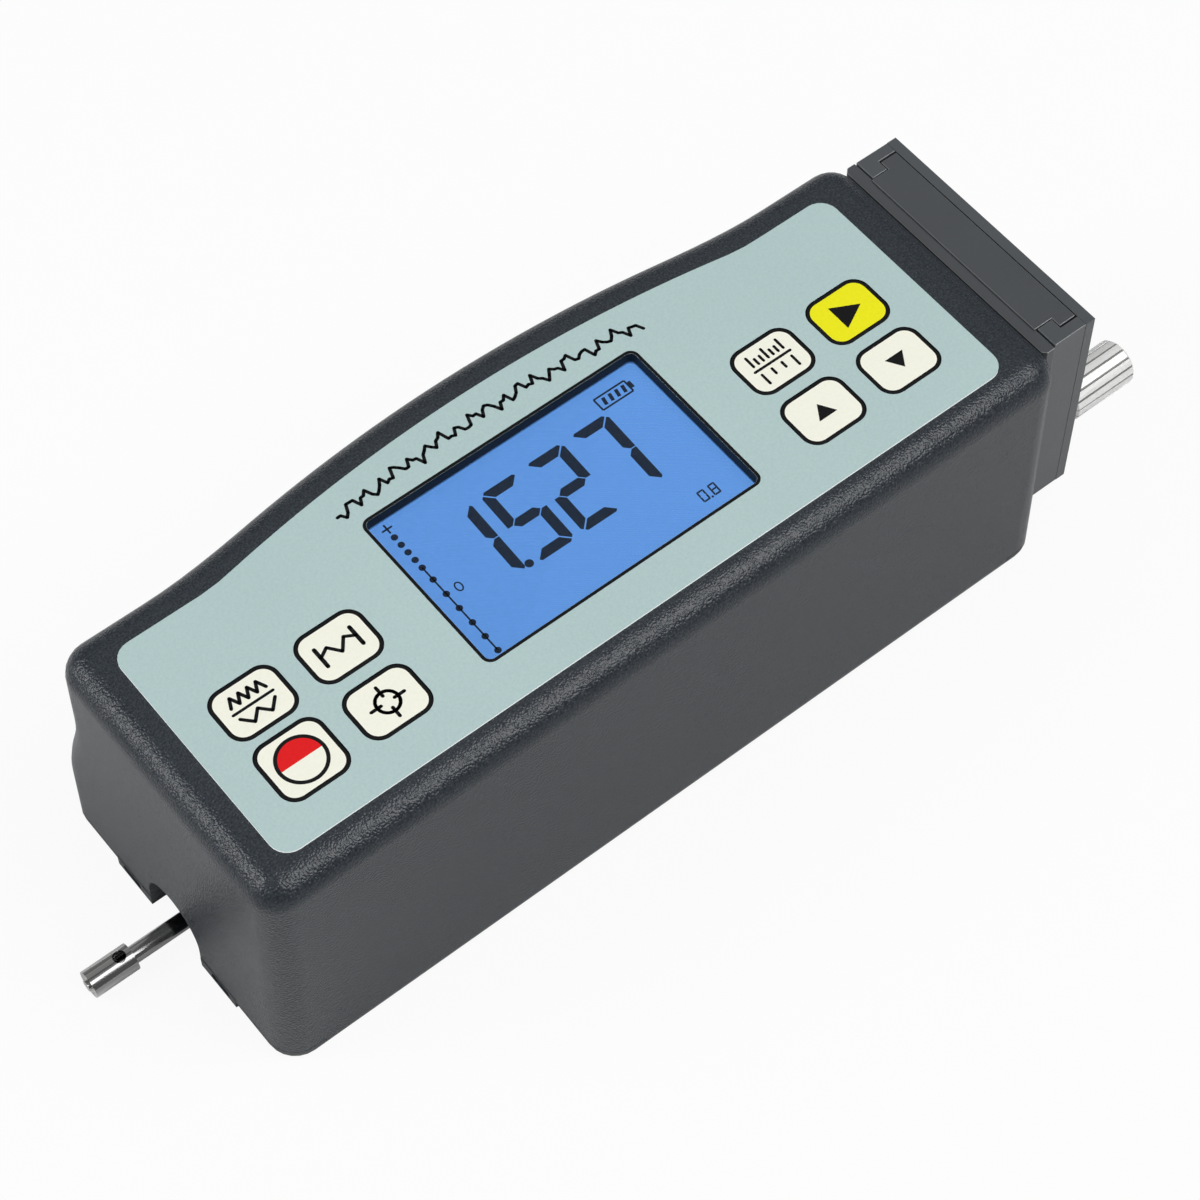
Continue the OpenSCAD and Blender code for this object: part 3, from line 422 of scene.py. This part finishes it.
dark_cells, tone, place, feed = finish("dark_display_cells", **{
    "Roughness": 0.4, "Specular IOR Level": 0.05})
feed(Base_Color=tone.noise(place, scale=1500.0, detail=1.0).blend(
    (0.008, 0.016, 0.032, 1), (0.016, 0.028, 0.052, 1)))

lcd_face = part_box("lcd_panel")[1][2]
on_glass = lcd_face, lcd_face + 0.03 * mm
large_point_r, small_point_r = 0.66, 0.18
figures = {"0": "abcdef", "1": "bc", "2": "abged", "5": "afgcd", "7": "abc", "8": "abcdefg"}


def figure(bm, sign, left, foot, wide, tall, thick, slit, lean=0.03):
    """A seven bar figure: bars with mitred ends and a narrow slit between neighbours."""
    half, deep, mid, blunt = tall / 2, thick + slit, thick / 2, thick / 5
    top = [(slit + blunt, half - blunt), (slit + 2 * blunt, half),
           (wide - slit - 2 * blunt, half), (wide - slit - blunt, half - blunt),
           (wide - deep, half - thick), (deep, half - thick)]
    side = [(wide - blunt, half - slit - blunt), (wide, half - slit - 2 * blunt),
            (wide, slit / 2), (wide - mid, slit / 2),
            (wide - thick, mid + slit / 2), (wide - thick, half - deep)]
    middle = [(mid + slit, 0), (deep, mid), (wide - deep, mid),
              (wide - mid - slit, 0), (wide - deep, -mid), (deep, -mid)]
    bars = {"a": top, "b": side, "g": middle,
            "d": [(u, -v) for u, v in top], "c": [(u, -v) for u, v in side],
            "f": [(wide - u, v) for u, v in side], "e": [(wide - u, -v) for u, v in side]}
    for name in figures[sign]:
        stamp(bm, [(left + u + lean * v, foot + half + v) for u, v in bars[name]], *on_glass)


# a large reading and a small one, each with its decimal point
bm = bmesh.new()
for sign, left in (("1", -16.8), ("5", -8.6), ("2", -0.7), ("7", 7.2)):
    figure(bm, sign, left, foot=-6.05, wide=6.5, tall=13.8, thick=1.6, slit=0.16)
dot(bm, (-9.8, -5.3), large_point_r, *on_glass)
for sign, left in (("0", 15.1), ("8", 17.0)):
    figure(bm, sign, left, foot=-12.5, wide=1.2, tall=2.0, thick=0.26, slit=0.02)
dot(bm, (16.62, -12.4), small_point_r, *on_glass, 10)

# level scale along the front edge, with a plus sign at its head and a ring at its middle
level_x, level_r, level_thick = -21.55, 0.52, 0.26
plus_y, plus_half, plus_thick = 11.2, 0.85, 0.28
levels = 9.5, 7.95, 6.4, 4.8, 3.2, 0.75, -2.2, -5.1, -8.0, -10.8, -13.6
for y in levels:
    dot(bm, (level_x, y), level_r, *on_glass, 14)
bar(bm, (level_x, levels[4]), (level_x, levels[-1]), level_thick, *on_glass)
bar(bm, (level_x - plus_half, plus_y), (level_x + plus_half, plus_y), plus_thick, *on_glass)
bar(bm, (level_x, plus_y - plus_half), (level_x, plus_y + plus_half), plus_thick, *on_glass)
ring_x, ring_y, ring_wide, ring_tall, ring_thick = -19.5, -2.3, 0.5, 0.75, 0.22
ring_sides, ring_lap = 16, 1.05
for k in range(ring_sides):
    ends = [(ring_x + ring_wide * math.cos(a), ring_y + ring_tall * math.sin(a))
            for a in (2 * math.pi * t / ring_sides for t in (k, k + ring_lap))]
    bar(bm, *ends, ring_thick, *on_glass)

# battery sign: a case with a contact at its end and four leaning charge bars
case = [(14.0, 8.4), (19.4, 8.4), (19.4, 10.6), (14.0, 10.6)]
case_thick, contact_x, contact_thick, charge_lean, charge_thick = 0.28, 19.8, 0.5, 0.25, 0.55
for a, b in zip(case, case[1:] + case[:1]):
    bar(bm, a, b, case_thick, *on_glass)
bar(bm, (contact_x, 8.9), (contact_x, 10.1), contact_thick, *on_glass)
for x in (15.0, 16.15, 17.3, 18.45):
    bar(bm, (x, 8.85), (x + charge_lean, 10.15), charge_thick, *on_glass)
piece("display_marks", bm, "housing", dark_cells)


# Keys: eight soft pads set in the film, each with a black outline round a cream or yellow field
# and a printed sign. A stem under each pad reaches down to its switch on the board.
key_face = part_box("start_key")[1][2] - 2 * ink_t
pad_t, pad_r, pad_edge, outline_t = 0.47 * mm, 2.5 * mm, 0.08 * mm, 0.45 * mm
stem_r, stem_lap = 1.8 * mm, 0.01 * mm

cream = inked("cream_key", (0.84, 0.84, 0.73), 0.04)
yellow = inked("yellow_key", (0.79, 0.76, 0.010), 0.05)
red = inked("red_ink", (0.69, 0.010, 0.012), 0.06)


def key(name, field):
    """A pad with rounded corners, its outline as a narrow ring round the field, on its stem."""
    low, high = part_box(name)
    x, y = (low[0] + high[0]) / 2, (low[1] + high[1]) / 2
    bm = bmesh.new()
    bmesh.ops.create_cube(bm, size=1, matrix=Matrix.Translation((x, y, key_face - pad_t / 2))
                          @ Matrix.Diagonal((high[0] - low[0], high[1] - low[1], pad_t, 1)))
    upright_edges = [e for e in bm.edges if abs(e.verts[0].co.z - e.verts[1].co.z) > pad_t / 2]
    bmesh.ops.bevel(bm, geom=upright_edges, offset=pad_r, segments=8, profile=0.5,
                    affect="EDGES", material=-1)
    for face in bm.faces:
        face.material_index = 1
    top = [f for f in bm.faces if f.normal.z > 0.9]
    bmesh.ops.bevel(bm, geom=top[0].edges[:], offset=pad_edge, segments=2, profile=0.5,
                    affect="EDGES", material=-1)
    top = [f for f in bm.faces if f.normal.z > 0.99]
    bmesh.ops.inset_region(bm, faces=top, thickness=outline_t, use_even_offset=True)
    top[0].material_index = 0
    stem_top = key_face - pad_t + stem_lap
    stem = bmesh.ops.create_cone(bm, cap_ends=True, segments=24, radius1=stem_r, radius2=stem_r,
                                 depth=stem_top - low[2],
                                 matrix=Matrix.Translation((x, y, (stem_top + low[2]) / 2)))
    for face in {f for v in stem["verts"] for f in v.link_faces}:
        face.material_index = 1
    made = piece(name + "_pad", bm, name, field, black)
    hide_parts(name)
    return x / mm, y / mm


def legend(name, bm):
    """A key's black sign, moving with the key."""
    piece(name + "_sign", bm, name, black)


on_key = key_face - ink_t, key_face + 2 * ink_t
heavy, plain, light = 0.6, 0.5, 0.42


def draw(bm, middle, thick, *points):
    """A line on a key, through points measured from the key's middle."""
    line(bm, [(middle[0] + u, middle[1] + v) for u, v in points], thick, *on_key)


def fill(bm, middle, *corners):
    """A filled mark on a key, its corners measured from the key's middle."""
    stamp(bm, [(middle[0] + u, middle[1] + v) for u, v in corners], *on_key)


# power: a disc in red and cream halves on a black ground
middle = key("power_key", cream)
disc_r, ground_r = 3.2, 3.75
bm = bmesh.new()
dot(bm, middle, ground_r, on_key[0], key_face + ink_t, 48)
legend("power_key", bm)
half = [(math.cos(math.pi * k / 24), math.sin(math.pi * k / 24)) for k in range(25)]
for sign, colour, label in ((1, red, "upper"), (-1, cream, "lower")):
    bm = bmesh.new()
    fill(bm, middle, *((disc_r * c, sign * disc_r * s) for c, s in half))
    piece("power_key_" + label, bm, "power_key", colour)

# parameter: a fine and a coarse profile on either side of a rule
middle = key("parameter_key", cream)
bm = bmesh.new()
draw(bm, middle, light, (-3.2, 0), (3.2, 0))
draw(bm, middle, plain, *((-2.8 + 0.7 * k, 1.0 + 1.5 * (k % 2)) for k in range(9)))
draw(bm, middle, plain, *((-2.8 + 1.4 * k, -1.0 - 1.5 * (k % 2)) for k in range(5)))
legend("parameter_key", bm)

# cutoff: a length of profile between two stops
middle = key("cutoff_key", cream)
bm = bmesh.new()
for u in (-2.9, 2.9):
    draw(bm, middle, heavy, (u, 1.6), (u, -1.6))
draw(bm, middle, plain, (-2.9, 0), (-1.4, 0.9), (0, -0.9), (1.4, 0.9), (2.9, 0))
legend("cutoff_key", bm)

# calibrate: cross hairs on a ring
middle = key("calibrate_key", cream)
bm = bmesh.new()
ring_r = 1.7
turns = [math.pi * k / 12 for k in range(25)]
draw(bm, middle, plain, *((ring_r * math.cos(t), ring_r * math.sin(t)) for t in turns))
for u, v in ((1, 0), (-1, 0), (0, 1), (0, -1)):
    draw(bm, middle, plain, (1.1 * u, 1.1 * v), (2.7 * u, 2.7 * v))
legend("calibrate_key", bm)

# unit: a fine and a coarse scale on either side of a rule
middle = key("unit_key", cream)
bm = bmesh.new()
draw(bm, middle, light, (-3.2, 0), (3.2, 0))
for count, pitch, way in ((7, 0.9, 1), (4, 1.8, -1)):
    for k in range(count):
        u, reach = -2.7 + pitch * k, 2.7 if k % 3 == 0 else 1.9
        draw(bm, middle, light, (u, way * 0.9), (u, way * reach))
legend("unit_key", bm)

# start: a triangle that points along the tester, then up and down arrows
middle = key("start_key", yellow)
bm = bmesh.new()
fill(bm, middle, (-1.8, -2.2), (2.4, 0), (-1.8, 2.2))
legend("start_key", bm)

for name, way in (("up_key", 1), ("down_key", -1)):
    middle = key(name, cream)
    bm = bmesh.new()
    fill(bm, middle, (-1.6, -1.1 * way), (1.6, -1.1 * way), (0, 1.4 * way))
    legend(name, bm)


# Electronics: a green glass fibre board with eight switches, hung on the deck's pillars,
# and a flat battery pack in blue shrink wrap standing on the base cover.
dress("main_board", moulded("solder_mask", (0.008, 0.12, 0.04), (0.015, 0.19, 0.07),
                            grain=0.5 * mm, depth=0.01 * mm, rough=0.35))
dress("key_switches", moulded("switch_plastic", (0.015, 0.015, 0.016), (0.03, 0.03, 0.032),
                              grain=0.4 * mm, depth=0.01 * mm, rough=0.5))
dress("battery_pack", moulded("shrink_wrap", (0.02, 0.08, 0.32), (0.04, 0.13, 0.44),
                              grain=3 * mm, depth=0.08 * mm, rough=0.3))


# Drive unit: a die cast frame on the base cover with two ground rods, a lead screw, brass gears
# and a can motor. The carriage on the rods draws the pickup back into the housing.
def metal(name, colour, streak, rough, depth=0.004 * mm, drawn=0.06, bare=1.0, painted_reflection_level=1.0):
    """Turned, drawn or cast metal, streaked along x; a mirror finish gets a painted reflection,
    its colour darker where it faces the camera.
    """
    material, tone, place, feed = finish(name, **{"Metallic": bare})
    along = tone.node("ShaderNodeMapping", sockets={"Vector": place, "Scale": (drawn, 1, 1)})
    streaks = tone.noise(along, scale=1 / streak, detail=3.0, rough=0.6)
    shade = streaks.blend(rgba(colour, 0.86), rgba(colour, 1.1))
    # painted reflection: the colour darkens where the surface faces the camera, standing in for
    # the dark room a mirror would show
    if painted_reflection_level < 1:
        turned_away = tone.node("ShaderNodeLayerWeight", sockets={"Blend": 0.5}, out="Facing")
        painted_reflection_share = tone.node("ShaderNodeClamp", sockets={"Value": (turned_away - 0.16) * 2.4})
        shade = painted_reflection_share.blend(rgba(colour, painted_reflection_level), shade)
    feed(Base_Color=shade,
         Roughness=(streaks - 0.5) * (0.7 * rough) + rough,
         Normal=streaks.bump(0.4, depth))
    return material


zinc = metal("zinc_plated_steel", (0.62, 0.63, 0.64), 0.4 * mm, 0.32)
brass = metal("gear_brass", (0.72, 0.54, 0.22), 0.3 * mm, 0.3)
resin = moulded("carriage_resin", (0.02, 0.02, 0.024), (0.036, 0.036, 0.042),
                grain=0.4 * mm, depth=0.01 * mm, rough=0.4)
for node in ("guide_rods", "lead_screw", "drive_screws", "board_screws", "base_screws",
             "stylus_pin"):
    dress(node, zinc)
for node in ("screw_gear", "motor_pinion"):
    dress(node, brass)
for node in ("drive_carriage", "pickup_socket"):
    dress(node, resin)
dress("drive_frame", metal("die_cast_alloy", (0.50, 0.52, 0.54), 0.6 * mm, 0.5,
                           depth=0.02 * mm, drawn=1))
dress("drive_motor", metal("motor_can", (0.58, 0.60, 0.62), 0.5 * mm, 0.28))


# Pickup: a polished steel tube with a larger nose pressed on its end and a stepped cap.
# The lever inside carries a diamond point that looks out under the nose.
# the steel's colour holds a painted reflection: dark seen square on, light towards the sides
polished = metal("polished_steel_painted_reflection", (0.74, 0.74, 0.73), 0.5 * mm, 0.12,
                 depth=0.0006 * mm, painted_reflection_level=0.36)
turned_crease = 35
for node, name in (("pickup_tube", "tube_skin"), ("pickup_nose", "nose_skin"),
                   ("nose_cap", "cap_skin")):
    smooth_skin(node, name, "carriage", turned_crease, polished)
dress("stylus_lever", zinc)
dress("stylus_tip", inked("ground_diamond", (0.80, 0.76, 0.62), 0.05))


# Height adjuster: a black T rail screwed on the rear wall and a slider of two hooked cheeks
# with a back plate. Both are anodised aluminium, lighter along their broken edges, partly from
# wear and partly as a painted highlight.
def black_coat(name, low, high, rough):
    """Anodising: dark, evenly matt and a little cloudy."""
    material, tone, place, feed = finish(name, **{"Specular IOR Level": 1.0})
    matt = tone.noise(place, scale=2500.0)
    rubbed = tone.noise(place, scale=120.0, detail=4.0)
    feed(Base_Color=(matt * 0.5 + rubbed * 0.5).blend(rgba(low), rgba(high)),
         Roughness=matt * 0.16 + rubbed * 0.12 + (rough - 0.14),
         Normal=matt.bump(0.5, 0.012 * mm))
    return material


rail_black = black_coat("rail_anodising", (0.024, 0.029, 0.034), (0.040, 0.046, 0.053), 0.40)
slider_black = black_coat("slider_anodising", (0.034, 0.040, 0.046), (0.050, 0.058, 0.066), 0.34)
# lighter edge colour: partly wear, partly a painted highlight where the edges would catch light
worn_edge_and_painted_highlight = black_coat("worn_edge_and_painted_highlight", (0.070, 0.076, 0.080), (0.130, 0.138, 0.142), 0.34)
broken_edge = 0.12 * mm


def upright(name, node, body, bars, low, material):
    """Bars of these plans, each from low to its own height, their edges broken and lighter, as
    wear and as a painted highlight.
    """
    bm = bmesh.new()
    for plan, high in bars:
        stamp(bm, plan, low, high)
    worn = bmesh.ops.bevel(bm, geom=bm.edges[:], offset=broken_edge, segments=2, profile=0.5,
                           affect="EDGES", material=-1)["faces"]
    for face in worn:
        face.material_index = 1
    made = piece(name, bm, body, material, worn_edge_and_painted_highlight)
    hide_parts(node)


def both_sides(half, middle):
    """A plan from its far half, mirrored about the rail's middle."""
    return [(x, middle + y) for x, y in half] + [(x, middle - y) for x, y in reversed(half)]


rail_box, cheek_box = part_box("rail_plate"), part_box("far_cheek")
seat, head_end = rail_box[0][0] / mm, rail_box[1][0] / mm
rail_mid = (rail_box[0][1] + rail_box[1][1]) / 2 / mm
plate_half = (rail_box[1][1] - rail_box[0][1]) / 2 / mm
slide_gap, plate_t, plate_edge, plate_step, neck_t, neck_in = 0.12, 2.1, 0.7, 0.3, 3.0, 0.3
plate, neck = seat + plate_t, seat + plate_t + neck_t
neck_half, head_half, cheek_t = 17.6, 19.3, 1.9
plate_plan = [(seat, plate_half - plate_edge), (seat + plate_edge, plate_half),
              (plate, plate_half)]
head_plan = [(plate - neck_in, neck_half), (neck, neck_half),
             (neck, head_half), (head_end, head_half)]
upright("rail", "rail_plate", "housing", [
    (both_sides(plate_plan, rail_mid), rail_box[1][2] - plate_step * mm),
    (both_sides(head_plan, rail_mid), rail_box[1][2]),
], rail_box[0][2], rail_black)

lip, back = plate + slide_gap, head_end + slide_gap
outer = cheek_box[1][1] / mm - rail_mid
hook = [(lip, neck_half + slide_gap), (lip, outer), (back, outer), (back, outer - cheek_t),
        (neck - slide_gap, outer - cheek_t), (neck - slide_gap, neck_half + slide_gap)]
for name, node, side in (("cheek_near", "near_cheek", -1), ("cheek_far", "far_cheek", 1)):
    upright(name, node, "slider", [([(a, rail_mid + side * b) for a, b in hook], cheek_box[1][2])],
            cheek_box[0][2], slider_black)
dress("slider_back_plate", slider_black)
for node in ("rail_screws", "cheek_screws"):
    dress(node, metal("blackened_steel_" + node, (0.06, 0.06, 0.065), 0.3 * mm, 0.4))


# Clamp knob: a turned aluminium thumb screw with straight knurls, bright from the lathe.
# Its shank runs through the back plate on to the rail's head.
bright = metal("turned_aluminium", (0.95, 0.95, 0.93), 0.25 * mm, 0.46,
               depth=0.002 * mm, bare=0.3)
# a dark grey for the knurl grooves: painted shade in the grooves of the same aluminium
groove_painted_shade = metal("knurl_groove_painted_shade", (0.34, 0.34, 0.33), 0.25 * mm, 0.6, bare=0.3)
knurl_crease = 20
knob = smooth_skin("clamp_knob", "knob_skin", "knob", knurl_crease, bright)
knob.data.materials.append(groove_painted_shade)
low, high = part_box("clamp_knob")
axis_y, axis_z = (low[1] + high[1]) / 2, (low[2] + high[2]) / 2
crest, groove_deep, crest_slack = (high[1] - low[1]) / 2, 0.4 * mm, 0.05 * mm
# the groove flanks take the dark grey as painted shade
for face in knob.data.polygons:
    off_axis = math.hypot(face.center.y - axis_y, face.center.z - axis_z)
    if abs(face.normal.x) < 0.3 and crest - groove_deep < off_axis < crest - crest_slack:
        face.material_index = 1
